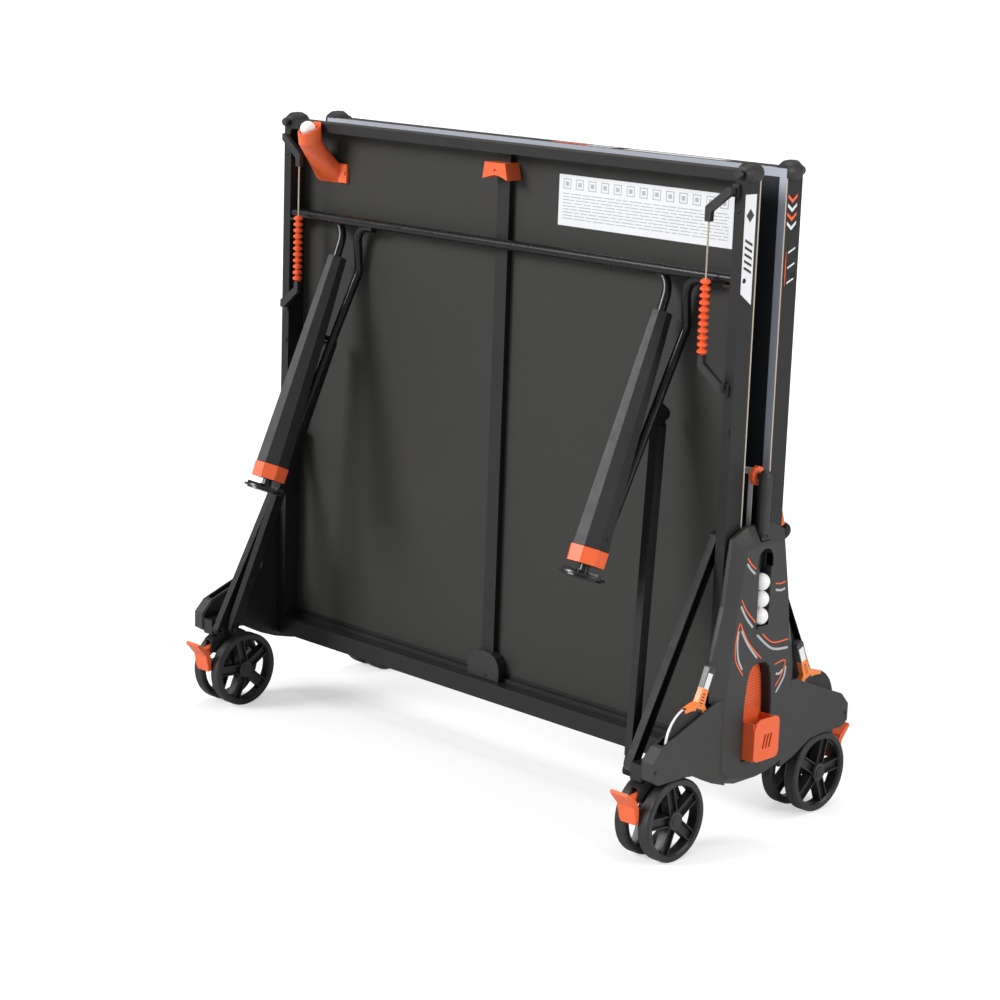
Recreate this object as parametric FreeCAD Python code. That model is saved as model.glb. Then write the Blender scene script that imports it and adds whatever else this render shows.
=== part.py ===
import FreeCAD, Part
import math
import os

V = FreeCAD.Vector

# Frame: X is the table's width, Y runs along play, Z is up.  The origin is on the floor at the centre.
# The table is folded: both half-tops stand on edge, back to back, with their playing faces inwards.
# The back half is the front half turned half a turn about Z.

# ---- driving dimensions, millimetres and degrees ----
HALF_WIDTH = 762.5          # half the width of a 1525 mm table
HALF_LENGTH = 1370.0        # length of one half-top
PLAY_HEIGHT = 760.0         # playing surface above the floor when open
PANEL_FACE = 44.0           # playing face from the centre plane when folded
PANEL_THICK = 7.0
PANEL_BASE = 159.0          # lower edge of a folded half-top
RAIL_DEPTH = 50.0
RAIL_WALL = 2.0
SIDE_RAIL = 26.0
TOP_RAIL = 23.0
BOTTOM_RAIL = 46.0
CENTRE_RAIL = 40.0
CENTRE_DEPTH = 15.0
FLANGE_TALL = 18.0          # sheet edge of the bottom rail against the panel
LIP_DEPTH = 12.0            # and the narrow lip in front of it
LIP_THICK = 4.0
LIP_TALL = 9.0
EDGE_GAP = 5.0              # inner edge from the centre plane when open

GUIDE_IN = 25.0             # guide pin above the half-top's inner edge
GUIDE_DEPTH = 42.0          # guide pin behind the playing face
GUIDE_PIN_R = 6.0
PIN_HEAD = 2.0              # how far a pin's head stands out and beyond its shank
STRUT_UP = 546.0            # panel strut pivot above the inner edge
STRUT_DEPTH = 32.0
LEG_UP = 1131.0             # leg hinge above the inner edge
LEG_DEPTH = 42.0
LEG_LENGTH = 718.0
LEG_SPLAY = 4.6             # how far an opened leg leans out from the upright
LEG_TILT = 21.9             # folded leg from the vertical
LEG_BACK = 20.4             # the leg's axis behind its hinge
LEG_X = 547.0
LUG_S = 307.6               # leg strut bolt along the leg
LUG_N = 75.2                # and behind its axis
LUG_X = 562.0               # leg strut's eye at that bolt
BAR_R = 12.5                # crossbar between the legs
STUB_R = 6.0                # its journals in the side rails
TUBE_PAST_BAR = (14.0, -6.0)    # main tube from the crossbar's axis, in y and z
TUBE_BEND = 58.0
REAR_BEND = 48.0
TUBE_R = 11.0
FOOT_STEM_R = 12.0
BOLT_R = 5.0
BOLT_HEAD_R = 9.0
BOLT_HEAD = 5.0             # height of a bolt's head
STRUT_X = 710.0             # inner side of a panel strut
STRUT_WIDE = 20.0
STRUT_HALF = 13.0
LEG_STRUT_X = 698.0         # leg strut's eye at the chassis
LEG_STRUT_LOW = (9.5, 13.0)     # half width and half depth at the chassis
LEG_STRUT_HIGH = (12.5, 14.0)   # and at the leg
FOOT_PIN_R = 4.0
BLOCK_X = 733.0             # inner face of the corner blocks

WHEEL_R = 97.0
WHEEL_W = 33.0
AXLE_Y = 260.2
CASTER_X = 747.5
SWIVEL_Y = 310.0
AXLE_R = 5.0
STEM_R = 7.0
PEDAL_PIVOT = (-324.0, 164.0)
PEDAL_PIN_R = 4.0
RUN = 0.05                  # radial clearance of a running fit
LOOSE = 0.3                 # clearance of a loose fit
GAP = 0.5                   # clearance between faces that pass each other

PLATE_X = 765.0             # inner face of the steel side plates
PLATE_THICK = 4.0
SHELL_X = 769.5             # open back of the plastic housings
LEDGE = 9.0                 # depth of a tower before it narrows
SHOE_END = 775.0            # outer side of the guide shoes
SHOE_HALF = 8.0
SHOE_TALL = 12.0
FACE_X = 803.0              # outer face of the towers
WING_X = 800.0
SHELL_WALL = 3.0
NET_LOW = 708.0             # net stowed between the half-tops; it rises for play
NET_HEIGHT = 152.0
NET_HALF = 752.0            # half its length
BALL_R = 20.0
BALL_X = 793.0
BALL_LOW = 525.0
HELD_BALL = (-638.0, -130.5, 1513.3)
HOLDER_SIDES = 24
HOLDER_FOOT = (-644.0, 1402.0)  # centre of its footprint on the panel, in x and z
MOUTH_R = 29.5
COUNTER_X = 682.5           # counter wires
COUNTER_Y = -119.0
COUNTER_LOW = 1118.0
COUNTER_HIGH = 1414.0
WIRE_R = 2.0

BACK = PANEL_FACE + PANEL_THICK
RAIL_FACE = BACK + RAIL_DEPTH
PANEL_TOP = PANEL_BASE + HALF_LENGTH
GUIDE = (-PANEL_FACE - GUIDE_DEPTH, PANEL_BASE + GUIDE_IN)
GUIDE_END = (-EDGE_GAP - GUIDE_IN, PLAY_HEIGHT - GUIDE_DEPTH)
STRUT_TOP = (-PANEL_FACE - STRUT_DEPTH, PANEL_BASE + STRUT_UP)
LEG_HINGE = (-PANEL_FACE - LEG_DEPTH, PANEL_BASE + LEG_UP)
STRUT_FOOT_Z = 213.0
LEG_STRUT_FOOT_Z = 216.0


# ---- linkage ----
def open_point(point):
    """Where a point of the folded front half lies (y, z) once its top has swung to the level."""
    dy = point[0] - GUIDE[0]
    dz = point[1] - GUIDE[1]
    return (GUIDE_END[0] - dz, GUIDE_END[1] + dy)


def turned(dy, dz, degrees):
    """A (y, z) offset turned about +X."""
    a = math.radians(degrees)
    return (dy * math.cos(a) - dz * math.sin(a), dy * math.sin(a) + dz * math.cos(a))


def equal_pivot(first, second, z):
    """The y at height z that is as far from one point as from the other."""
    my = (first[0] + second[0]) / 2
    mz = (first[1] + second[1]) / 2
    dy = second[0] - first[0]
    dz = second[1] - first[1]
    return my - (z - mz) * dz / dy


def along_leg(s, n):
    """The (y, z) of a point s down the folded leg and n behind its axis."""
    a = math.radians(LEG_TILT)
    behind = n + LEG_BACK
    y = LEG_HINGE[0] - s * math.sin(a) + behind * math.cos(a)
    z = LEG_HINGE[1] - s * math.cos(a) - behind * math.sin(a)
    return (y, z)


LEG_BOLT = along_leg(LUG_S, LUG_N)
LEG_HINGE_OPEN = open_point(LEG_HINGE)
BOLT_SWING = turned(LEG_BOLT[0] - LEG_HINGE[0], LEG_BOLT[1] - LEG_HINGE[1], LEG_TILT - LEG_SPLAY)
LEG_BOLT_OPEN = (LEG_HINGE_OPEN[0] + BOLT_SWING[0], LEG_HINGE_OPEN[1] + BOLT_SWING[1])
STRUT_FOOT = (equal_pivot(STRUT_TOP, open_point(STRUT_TOP), STRUT_FOOT_Z), STRUT_FOOT_Z)
LEG_STRUT_FOOT = (equal_pivot(LEG_BOLT, LEG_BOLT_OPEN, LEG_STRUT_FOOT_Z), LEG_STRUT_FOOT_Z)


# ---- helpers ----
def box(x0, x1, y0, y1, z0, z1):
    return Part.makeBox(x1 - x0, y1 - y0, z1 - z0, V(x0, y0, z0))


def rod(start, end, radius):
    a = V(*start)
    b = V(*end)
    return Part.makeCylinder(radius, (b - a).Length, a, b - a)


def rod_x(x0, x1, yz, radius):
    return rod((x0, yz[0], yz[1]), (x1, yz[0], yz[1]), radius)


def polygon(points):
    return Part.makePolygon([V(*p) for p in points + points[:1]])


def prism_yz(points, x0, x1):
    """A (y, z) outline carried from x0 to x1."""
    face = Part.Face(polygon([(x0, y, z) for y, z in points]))
    return face.extrude(V(x1 - x0, 0, 0))


def prism_xz(points, y0, y1):
    face = Part.Face(polygon([(x, y0, z) for x, z in points]))
    return face.extrude(V(0, y1 - y0, 0))


def loft(*wires):
    return Part.makeLoft(list(wires), True, True)


def bar_yz(start, end, half, x0, x1):
    """A flat bar with round ends between two (y, z) points."""
    dy = end[0] - start[0]
    dz = end[1] - start[1]
    length = math.hypot(dy, dz)
    ny = -dz / length * half
    nz = dy / length * half
    corners = [(start[0] + ny, start[1] + nz), (end[0] + ny, end[1] + nz)]
    corners += [(end[0] - ny, end[1] - nz), (start[0] - ny, start[1] - nz)]
    body = prism_yz(corners, x0, x1)
    return body.fuse([rod_x(x0, x1, start, half), rod_x(x0, x1, end, half)]).removeSplitter()


def pipe(points, radius, bend):
    """A round bar along straight runs joined by arcs of radius bend."""
    pts = [V(*p) for p in points]
    edges = []
    last = pts[0]
    for before, corner, after in zip(pts, pts[1:], pts[2:]):
        u = (before - corner).normalize()
        w = (after - corner).normalize()
        half_turn = (math.pi - u.getAngle(w)) / 2
        cut = bend * math.tan(half_turn)
        middle = (u + w).normalize()
        depth = bend / math.cos(half_turn) - bend
        arc_in = corner + u * cut
        arc_out = corner + w * cut
        edges.append(Part.LineSegment(last, arc_in).toShape())
        edges.append(Part.Arc(arc_in, corner + middle * depth, arc_out).toShape())
        last = arc_out
    edges.append(Part.LineSegment(last, pts[-1]).toShape())
    spine = Part.Wire(edges)
    ring = Part.Wire(Part.makeCircle(radius, pts[0], pts[1] - pts[0]))
    return spine.makePipeShell([ring], True, False)


def fused(shapes):
    whole = shapes[0].fuse(list(shapes[1:]))
    return whole.removeSplitter()


def mirrored(shape):
    return shape.mirror(V(0, 0, 0), V(1, 0, 0))


def both_sides(shape):
    return [shape, mirrored(shape)]


def turned_back(shape):
    other = shape.copy()
    other.rotate(V(0, 0, 0), V(0, 0, 1), 180)
    return other


def save(name, solids):
    """Write one node: a solid, or a group of alike solids."""
    found = []
    for shape in solids:
        found += shape.Solids
    for solid in found:
        if not solid.isValid() or solid.Volume <= 0:
            print("check", name, solid.isValid(), round(solid.Volume))
    target = found[0] if len(found) == 1 else Part.makeCompound(found)
    target.exportStep("parts/" + name + ".step")
    print(name, len(found), round(sum(s.Volume for s in found) / 1000.0, 1))


def save_half_nodes(nodes):
    """Write each node of the front half, and its twin of the back half."""
    for name, solids in nodes.items():
        save("front_" + name, solids)
        save("back_" + name, [turned_back(s) for s in solids])


# ---- half-top ----
def panel():
    return box(-HALF_WIDTH, HALF_WIDTH, -BACK, -PANEL_FACE, PANEL_BASE, PANEL_TOP)


def rail_block(x0, x1, z0, z1, depth):
    return box(x0, x1, -BACK - depth, -BACK, z0, z1)


def rail_hollow(x0, x1, z0, z1, depth):
    """The inside of a folded channel that is open towards the panel."""
    w = RAIL_WALL
    return box(x0 + w, x1 - w, -BACK - depth + w, -BACK + 1, z0 + w, z1 - w)


def top_frame():
    low = PANEL_BASE
    high = PANEL_TOP
    side_in = HALF_WIDTH - SIDE_RAIL
    inner = rail_block(-side_in, side_in, low + BOTTOM_RAIL, high - TOP_RAIL, RAIL_DEPTH)
    ring = rail_block(-HALF_WIDTH, HALF_WIDTH, low, high, RAIL_DEPTH).cut(inner)
    w = RAIL_WALL
    groove = box(-HALF_WIDTH + w, HALF_WIDTH - w, -RAIL_FACE + w, -BACK + 1, low + w, high - w)
    keep = box(-side_in - w, side_in + w, -RAIL_FACE, -BACK + 1, low + BOTTOM_RAIL - w, high - TOP_RAIL + w)
    ring = ring.cut(groove.cut(keep))
    half = CENTRE_RAIL / 2
    centre = rail_block(-half, half, low + BOTTOM_RAIL, high - TOP_RAIL, CENTRE_DEPTH)
    hollow = rail_hollow(-half, half, low + BOTTOM_RAIL - w, high - TOP_RAIL + w, CENTRE_DEPTH)
    ledge = low + BOTTOM_RAIL
    flange = box(-side_in, side_in, -BACK - w, -BACK, ledge, ledge + FLANGE_TALL)
    lip = box(-side_in, side_in, -BACK - LIP_DEPTH, -BACK - LIP_DEPTH + LIP_THICK, ledge, ledge + LIP_TALL)
    frame = fused([ring, centre, flange, lip]).cut(hollow)
    journals = [rod_x(side_in - 1, side_in + w + 1, LEG_HINGE, STUB_R + RUN)]
    return frame.cut(journals + [mirrored(j) for j in journals])


def guide_pins():
    """Stub pins through the side plates, and the short bolts that carry the panel struts."""
    end = SHOE_END + LOOSE
    pin = rod_x(HALF_WIDTH, end, GUIDE, GUIDE_PIN_R)
    head = rod_x(end, end + PIN_HEAD, GUIDE, GUIDE_PIN_R + PIN_HEAD)
    return both_sides(fused([pin, head]))


def strut_bolts():
    side_in = HALF_WIDTH - SIDE_RAIL
    under_head = STRUT_X - PIN_HEAD
    shank = rod_x(under_head, side_in, STRUT_TOP, BOLT_R)
    head = rod_x(under_head - BOLT_HEAD, under_head, STRUT_TOP, BOLT_HEAD_R)
    return both_sides(fused([shank, head]))


# A corner cap's radius along y, and its axis from the half-top's corner.
CAP_PROFILE = [(0, -114), (9, -114), (11, -110), (9, -106), (9, -100), (16, -99), (24, -85), (25, -70),
               (24, -56), (18, -43), (0, -43)]
CAP_IN = 12.0
CAP_DOWN = 7.0


def corner_caps():
    """Soft domed mouldings over the two upper corners of a half-top."""
    x, z = HALF_WIDTH - CAP_IN, PANEL_TOP - CAP_DOWN
    face = Part.Face(polygon([(x + r, y, z) for r, y in CAP_PROFILE]))
    dome = face.revolve(V(x, 0, z), V(0, 1, 0), 360)
    top = box(-HALF_WIDTH, HALF_WIDTH, -RAIL_FACE, -PANEL_FACE + 9, PANEL_BASE, PANEL_TOP)
    return both_sides(dome.cut(top).Solids[0])


# Half the bumper's outline, (x, height above its foot), and its depth.
BUMPER_SIDE = [(54, 0), (54, 28), (50, 45), (40, 59), (24, 67), (0, 70)]
BUMPER_DEPTH = 29.0


def bumper():
    """The D-shaped block at the foot of the centre rail."""
    low = PANEL_BASE + BOTTOM_RAIL + 1
    outline = [(-x, low + z) for x, z in BUMPER_SIDE] + [(x, low + z) for x, z in reversed(BUMPER_SIDE[:-1])]
    half = CENTRE_RAIL / 2
    wide = BUMPER_SIDE[0][0] + 1
    tall = BUMPER_SIDE[-1][1]
    slot = box(-half, half, -BACK - CENTRE_DEPTH, -BACK, low - 1, low + tall + 1)
    lip = box(-wide, wide, -BACK - LIP_DEPTH - 1, -BACK, low - 1, low + FLANGE_TALL + 1)
    return prism_xz(outline, -BACK - BUMPER_DEPTH, -BACK).cut([slot, lip])


# ---- legs ----
def octagon(s, half, x):
    """An octagon square to the folded leg, s down from its hinge."""
    c = half * math.tan(math.pi / 8)
    ring = [(half, c), (c, half), (-c, half), (-half, c), (-half, -c), (-c, -half), (c, -half), (half, -c)]
    points = []
    for across, behind in ring:
        y, z = along_leg(s, behind)
        points.append((x + across, y, z))
    return polygon(points)


def leg_rod(s0, s1, n, x, radius):
    y0, z0 = along_leg(s0, n)
    y1, z1 = along_leg(s1, n)
    return rod((x, y0, z0), (x, y1, z1), radius)


def rear_tube(x, radius=TUBE_R):
    """The second tube of a leg: off the crossbar, down behind the cover and into its rear slot."""
    y, z = LEG_HINGE
    low_y, low_z = along_leg(605, 34)
    bend = (x + 43, -BACK - 16, z - 128)
    path = [(x + 118, y, z - 10), (x + 49, y + 3, z - 12), bend, (x + 7, low_y, low_z)]
    return pipe(path, radius, REAR_BEND)


def front_tube(x, radius=TUBE_R):
    """The main tube of a leg: beside the crossbar, then down inside the cover."""
    y = LEG_HINGE[0] + TUBE_PAST_BAR[0]
    z = LEG_HINGE[1] + TUBE_PAST_BAR[1]
    return pipe([(x - 85, y, z), (x, y, z), (x, *along_leg(620, 0))], radius, TUBE_BEND)


def bolt_lug(sign):
    """The lug beside a leg's rear tube, with the headed bolt that the leg strut turns on."""
    tube_side = along_leg(LUG_S - 10, 41)
    tube_x = sign * LEG_X + 29
    face = sign * (LEG_X + 30)
    plate = bar_yz(tube_side, LEG_BOLT, 13, *sorted((face, face + sign * 6)))
    bridge = rod_x(*sorted((tube_x, face + sign * 3)), tube_side, 8)
    end = LUG_X - LEG_STRUT_HIGH[0] - GAP
    bolt = rod_x(*sorted((face, sign * end)), LEG_BOLT, BOLT_R)
    head = rod_x(*sorted((sign * end, sign * (end - BOLT_HEAD))), LEG_BOLT, BOLT_HEAD_R)
    return [plate, bridge, bolt, head]


def leg_frame():
    bar_end = HALF_WIDTH - SIDE_RAIL - GAP
    bar = rod_x(-bar_end, bar_end, LEG_HINGE, BAR_R)
    stubs = [rod_x(bar_end - 5, bar_end + 8, LEG_HINGE, STUB_R)]
    stubs += [mirrored(s) for s in stubs]
    parts = [bar] + stubs
    for sign in (1, -1):
        parts += [front_tube(sign * LEG_X), rear_tube(sign * LEG_X)] + bolt_lug(sign)
    return fused(parts)


# Where along the leg its cover, collar and foot lie, and half their widths.
COVER_TOP, COVER_LOW = 94.0, 648.0
COVER_HALF = (23.0, 41.0)
COVER_WALL = 3.0
COLLAR_TOP, COLLAR_LOW = 649.0, 686.0
FOOT_DISC = 709.0
FOOT_DISC_R = 54.0
FOOT_PAD = 714.0
FOOT_PAD_R = 46.0


def leg_cover(sign):
    """A tapering eight-sided sleeve with a slot down its rear for the second tube."""
    x = sign * LEG_X
    narrow, wide = COVER_HALF
    sleeve = loft(octagon(COVER_TOP, narrow, x), octagon(COVER_LOW, wide, x))
    top = octagon(COVER_TOP + 18, narrow - COVER_WALL, x)
    hollow = loft(top, octagon(COVER_LOW - 16, wide - COVER_WALL, x))
    groove = leg_rod(330, 612, 36, x + 8, 12.5)
    tubes = [front_tube(x, TUBE_R + LOOSE), rear_tube(x, TUBE_R + LOOSE)]
    stem = leg_rod(625, 650, 0, x, FOOT_STEM_R + RUN)
    return sleeve.cut([hollow, groove, stem] + tubes)


def foot_collar(sign):
    x = sign * LEG_X
    wide = COVER_HALF[1] + 2
    ring = loft(octagon(COLLAR_TOP, wide, x), octagon(COLLAR_LOW, wide - 1, x))
    bore = leg_rod(COLLAR_TOP - 4, COLLAR_LOW + 4, 0, x, FOOT_STEM_R + RUN)
    hollow = loft(octagon(COLLAR_TOP - 1, wide - 4, x), octagon(COLLAR_LOW - 6, wide - 5, x))
    hub = leg_rod(COLLAR_TOP, COLLAR_LOW, 0, x, 18).cut(bore)
    return fused([ring.cut([hollow, bore]), hub])


def foot(sign):
    """A threaded stem with a broad disc and six radial ribs."""
    x = sign * LEG_X
    stem = leg_rod(645, 706, 0, x, FOOT_STEM_R)
    disc = leg_rod(FOOT_DISC, FOOT_PAD, 0, x, FOOT_DISC_R)
    pad = leg_rod(FOOT_PAD, LEG_LENGTH, 0, x, FOOT_PAD_R)
    hub = leg_rod(700, 710, 0, x, 16)
    y, z = along_leg(702, 0)
    axis = V(0, -math.sin(math.radians(LEG_TILT)), -math.cos(math.radians(LEG_TILT)))
    ribs = []
    for k in range(6):
        rib = Part.makeBox(34, 3, 8, V(14, -1.5, 0))
        rib.rotate(V(0, 0, 0), V(0, 0, 1), 60 * k)
        rib.rotate(V(0, 0, 0), V(1, 0, 0), 180 - LEG_TILT)
        rib.translate(V(x, y, z))
        ribs.append(rib)
    return fused([stem, disc, pad, hub] + ribs)


# ---- struts ----
def panel_strut(sign):
    """A channel from the chassis corner to the side rail, seen from its open outer side."""
    x0, x1 = sorted((sign * STRUT_X, sign * (STRUT_X + STRUT_WIDE)))
    bar = bar_yz(STRUT_FOOT, STRUT_TOP, STRUT_HALF, x0, x1)
    dy = STRUT_TOP[0] - STRUT_FOOT[0]
    dz = STRUT_TOP[1] - STRUT_FOOT[1]
    part = 40 / math.hypot(dy, dz)
    start = (STRUT_FOOT[0] + dy * part, STRUT_FOOT[1] + dz * part)
    end = (STRUT_TOP[0] - dy * part, STRUT_TOP[1] - dz * part)
    w0, w1 = sorted((sign * (STRUT_X + 3), sign * (STRUT_X + STRUT_WIDE + 1)))
    holes = [rod_x(x0 - 1, x1 + 1, STRUT_TOP, BOLT_R + RUN), rod_x(x0 - 1, x1 + 1, STRUT_FOOT, FOOT_PIN_R)]
    return bar.cut([bar_yz(start, end, STRUT_HALF - 3, w0, w1)] + holes)


def faces_beside(x, half, pivot):
    """Blocks that trim a leaning bar square to its pivot, half to either side of x."""
    y, z = pivot
    reach = 2 * half
    low, high = z - reach, z + reach
    return [box(x - half - reach, x - half, y - reach, y + reach, low, high),
            box(x + half, x + half + reach, y - reach, y + reach, low, high)]


def leg_strut(sign):
    """A bar that leans inwards from the chassis corner to the leg's bolt lug."""
    foot_x = sign * LEG_STRUT_X
    top_x = sign * LUG_X
    start = V(foot_x, *LEG_STRUT_FOOT)
    end = V(top_x, *LEG_BOLT)
    across = V(1, 0, 0)
    run = (end - start).normalize()
    depth = run.cross(across).normalize()
    ends = []
    for point, half in ((start, LEG_STRUT_LOW), (end + run * 12, LEG_STRUT_HIGH)):
        corners = ((1, 1), (-1, 1), (-1, -1), (1, -1))
        ring = [point + across * a * half[0] + depth * b * half[1] for a, b in corners]
        ends.append(Part.makePolygon(ring + ring[:1]))
    bar = loft(*ends)
    low, high = LEG_STRUT_LOW[0], LEG_STRUT_HIGH[0]
    eye = rod_x(foot_x - low, foot_x + low, LEG_STRUT_FOOT, LEG_STRUT_LOW[1])
    sides = faces_beside(foot_x, low, LEG_STRUT_FOOT) + faces_beside(top_x, high, LEG_BOLT)
    holes = [rod_x(foot_x - low - 1, foot_x + low + 1, LEG_STRUT_FOOT, FOOT_PIN_R)]
    holes.append(rod_x(top_x - high - 1, top_x + high + 1, LEG_BOLT, BOLT_R + RUN))
    return fused([bar, eye]).cut(sides + holes)


def guide_shoe():
    """The sliding block that carries a guide pin inside the tower."""
    y, z = GUIDE
    block = box(SHELL_X + GAP, SHOE_END, y - SHOE_HALF, y + SHOE_HALF, z - SHOE_TALL, z + SHOE_TALL)
    return both_sides(block.cut(rod_x(SHELL_X - 1, SHOE_END + 1, GUIDE, GUIDE_PIN_R + RUN)))


# ---- accessories of the front half ----
def holder_ring(x, y, z, radius, rise):
    """A level or tilted ring of the ball holder; rise is how fast it climbs towards the panel."""
    points = []
    for k in range(HOLDER_SIDES):
        a = 2 * math.pi * k / HOLDER_SIDES
        dy = -radius * math.cos(a)
        points.append((x + radius * math.sin(a), y + dy, z + dy * rise))
    return polygon(points)


def holder_base(x, z, wide, tall):
    """The holder's rounded oblong footprint on the panel."""
    points = []
    for k in range(HOLDER_SIDES):
        a = 2 * math.pi * k / HOLDER_SIDES
        across = math.copysign(math.sqrt(abs(math.sin(a))), math.sin(a))
        along = math.copysign(math.sqrt(abs(math.cos(a))), math.cos(a))
        points.append((x + wide * across, -BACK, z - tall * along))
    return polygon(points)


def ball_holder():
    """A funnel on the panel's underside, wide where it is screwed on and round where it holds a ball."""
    x, y, z = HELD_BALL[0] + 4, HELD_BALL[1] + 1, HELD_BALL[2]
    mouth = holder_ring(x, y, z + 2.7, MOUTH_R, 0.55)
    waist = holder_ring(x - 2, y + 6, z - 35, MOUTH_R - 0.5, 0.2)
    foot_x, foot_z = HOLDER_FOOT
    wide, tall = 52, 26
    body = loft(holder_base(foot_x, foot_z, wide, tall), waist, mouth)
    floor = z - BALL_R - LOOSE
    bore = rod((x + 1, y, floor), (x + 1, y, floor + 70), MOUTH_R - 4)
    rail = box(x - 80, x + 80, -RAIL_FACE - 1, -BACK + 1, PANEL_TOP - TOP_RAIL - 2, PANEL_TOP + 30)
    edge = foot_x + 75
    flange = box(edge - 31, edge, -BACK - 8, -BACK, foot_z - 23, foot_z + 25)
    screw = rod((edge - 9, -BACK - 11, foot_z + 2), (edge - 9, -BACK - 7, foot_z + 2), 5)
    return fused([body, flange, screw]).cut([bore, rail])


def hook():
    """The trapezium bracket near the top of the centre rail."""
    y0, y1 = -RAIL_FACE + 2, -BACK - CENTRE_DEPTH + 2
    outline = [(-40, 1442), (-34, 1482), (34, 1482), (43, 1442), (20, 1450), (0, 1453), (-20, 1448)]
    block = prism_xz(outline, y0, -BACK)
    rail = box(-CENTRE_RAIL / 2, CENTRE_RAIL / 2, -BACK - CENTRE_DEPTH, -BACK + 1, 1400, 1500)
    screw = rod((0, y0 - 1, 1464), (0, y1 - 6, 1464), 3)
    return block.cut([rail, screw])


def counter_arms():
    """Brackets, arms and steel wires of the two score counters."""
    x_wire, y_wire = COUNTER_X, COUNTER_Y
    z_low, z_high = COUNTER_LOW, COUNTER_HIGH
    rail_x = HALF_WIDTH - SIDE_RAIL
    pads = [box(rail_x - 3, rail_x + 14, -RAIL_FACE - 7, -RAIL_FACE, 1472, 1500)]
    pads.append(box(rail_x - 3, rail_x + 14, -RAIL_FACE - 7, -RAIL_FACE, 1034, 1060))
    upper = [(x_wire - 8, z_high), (x_wire + 8, z_high), (x_wire + 9, z_high + 22), (rail_x + 8, 1478),
             (rail_x + 8, 1494), (rail_x - 4, 1492), (x_wire - 8, z_high + 32)]
    lower = [(x_wire - 7, z_low), (x_wire + 7, z_low), (x_wire + 8, z_low - 16), (rail_x + 6, 1064),
             (rail_x + 6, 1048), (rail_x - 6, 1046), (x_wire - 7, z_low - 26)]
    arms = [prism_xz(upper, y_wire - 6, y_wire + 6), prism_xz(lower, y_wire - 6, y_wire + 6)]
    links = [box(rail_x - 6, rail_x + 8, y_wire - 6, -RAIL_FACE - 6, 1478, 1492)]
    links.append(box(rail_x - 6, rail_x + 6, y_wire - 6, -RAIL_FACE - 6, 1046, 1060))
    wire = rod((x_wire, y_wire, z_low - 2), (x_wire, y_wire, z_high + 2), WIRE_R)
    return both_sides(fused(pads + arms + links + [wire]))


BEAD_PROFILE = [(2.3, 0), (5, 0), (12, 5.2), (12, 9.8), (5, 15), (2.3, 15)]
BEAD_PITCH = 15.5
BEAD_COUNT = 11


def beads(sign):
    """Double cones threaded on a counter's wire."""
    x, y = sign * COUNTER_X, COUNTER_Y
    ring = Part.Face(polygon([(x + r, y, z) for r, z in BEAD_PROFILE]))
    bead = ring.revolve(V(x, y, 0), V(0, 0, 1), 360)
    strung = []
    for k in range(BEAD_COUNT):
        copy = bead.copy()
        copy.translate(V(0, 0, COUNTER_LOW + 1 + k * BEAD_PITCH))
        strung.append(copy)
    return strung


# ---- chassis ----
TOWER_BACK = [(45, 735), (92, 712), (110, 560), (144, 440), (160, 340), (148, 161), (103, 145), (40, 130)]
TOWER_FACE = [(40, 692), (66, 692), (91, 560), (105, 440), (119, 330), (116, 178), (88, 160), (36, 147)]
WING = [(100, 350), (144, 350), (325, 280), (353, 250), (353, 209), (332, 196), (248, 196), (210, 192),
        (148, 161), (100, 145)]
RECESS = [(0, 419), (22, 416), (34, 404), (42, 380), (49, 320), (50, 190)]
CUP_BACK = [(0, 415), (20, 412), (31, 401), (39, 378), (46, 319), (47, 197)]
CUP_FRONT = [(-45, 207), (-41, 198), (-32, 194), (32, 194), (41, 198), (45, 207), (45, 278), (41, 289),
             (33, 293), (-24, 293), (-38, 286), (-45, 268)]
CUP_HALF = 45.0
CUP_DEEP = 831.0            # where the cup's side walls meet its front
SLOT_HALF = GUIDE_PIN_R + 0.3


def symmetric(points):
    return [(-y, z) for y, z in points] + [(y, z) for y, z in reversed(points)]


def ring_at(points, x):
    return polygon([(x, y, z) for y, z in points])


def inset(points, by):
    """A closed (y, z) outline moved inwards by a wall."""
    face = Part.Face(ring_at(points, 0))
    ring = face.makeOffset2D(-by, 2).OuterWire
    return [(v.Point.y, v.Point.z) for v in ring.OrderedVertexes]


def tower_body(x1, by):
    back = symmetric(TOWER_BACK)
    face = symmetric(TOWER_FACE)
    if by:
        back = inset(back, by)
        face = inset(face, by)
    ledge = SHELL_X + LEDGE
    return prism_yz(back, SHELL_X, ledge).fuse(loft(ring_at(back, ledge), ring_at(face, x1)))


def wing_body(x0, x1, by):
    right = inset(WING, by) if by else WING
    left = [(-y, z) for y, z in right]
    return [prism_yz(left, x0, x1), prism_yz(right, x0, x1)]


def arch(half, z0, z1, x0, x1):
    """A window with a round head."""
    low = box(x0, x1, -half, half, z0, z1 - half)
    return low.fuse(rod_x(x0, x1, (0, z1 - half), half))


def racket_slot(sign):
    y0, y1 = sorted((sign * 150, sign * 316))
    return box(775, 795, y0, y1, 262, 372)


def ball_channel():
    """The trough behind the ball slot; the balls stand on its floor."""
    end = FACE_X - SHELL_WALL / 2
    trough = box(771, end, -24, 24, BALL_LOW - BALL_R - 6, 676)
    return trough.cut(box(772.5, end, -21.5, 21.5, BALL_LOW - BALL_R - GAP, 677))


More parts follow.
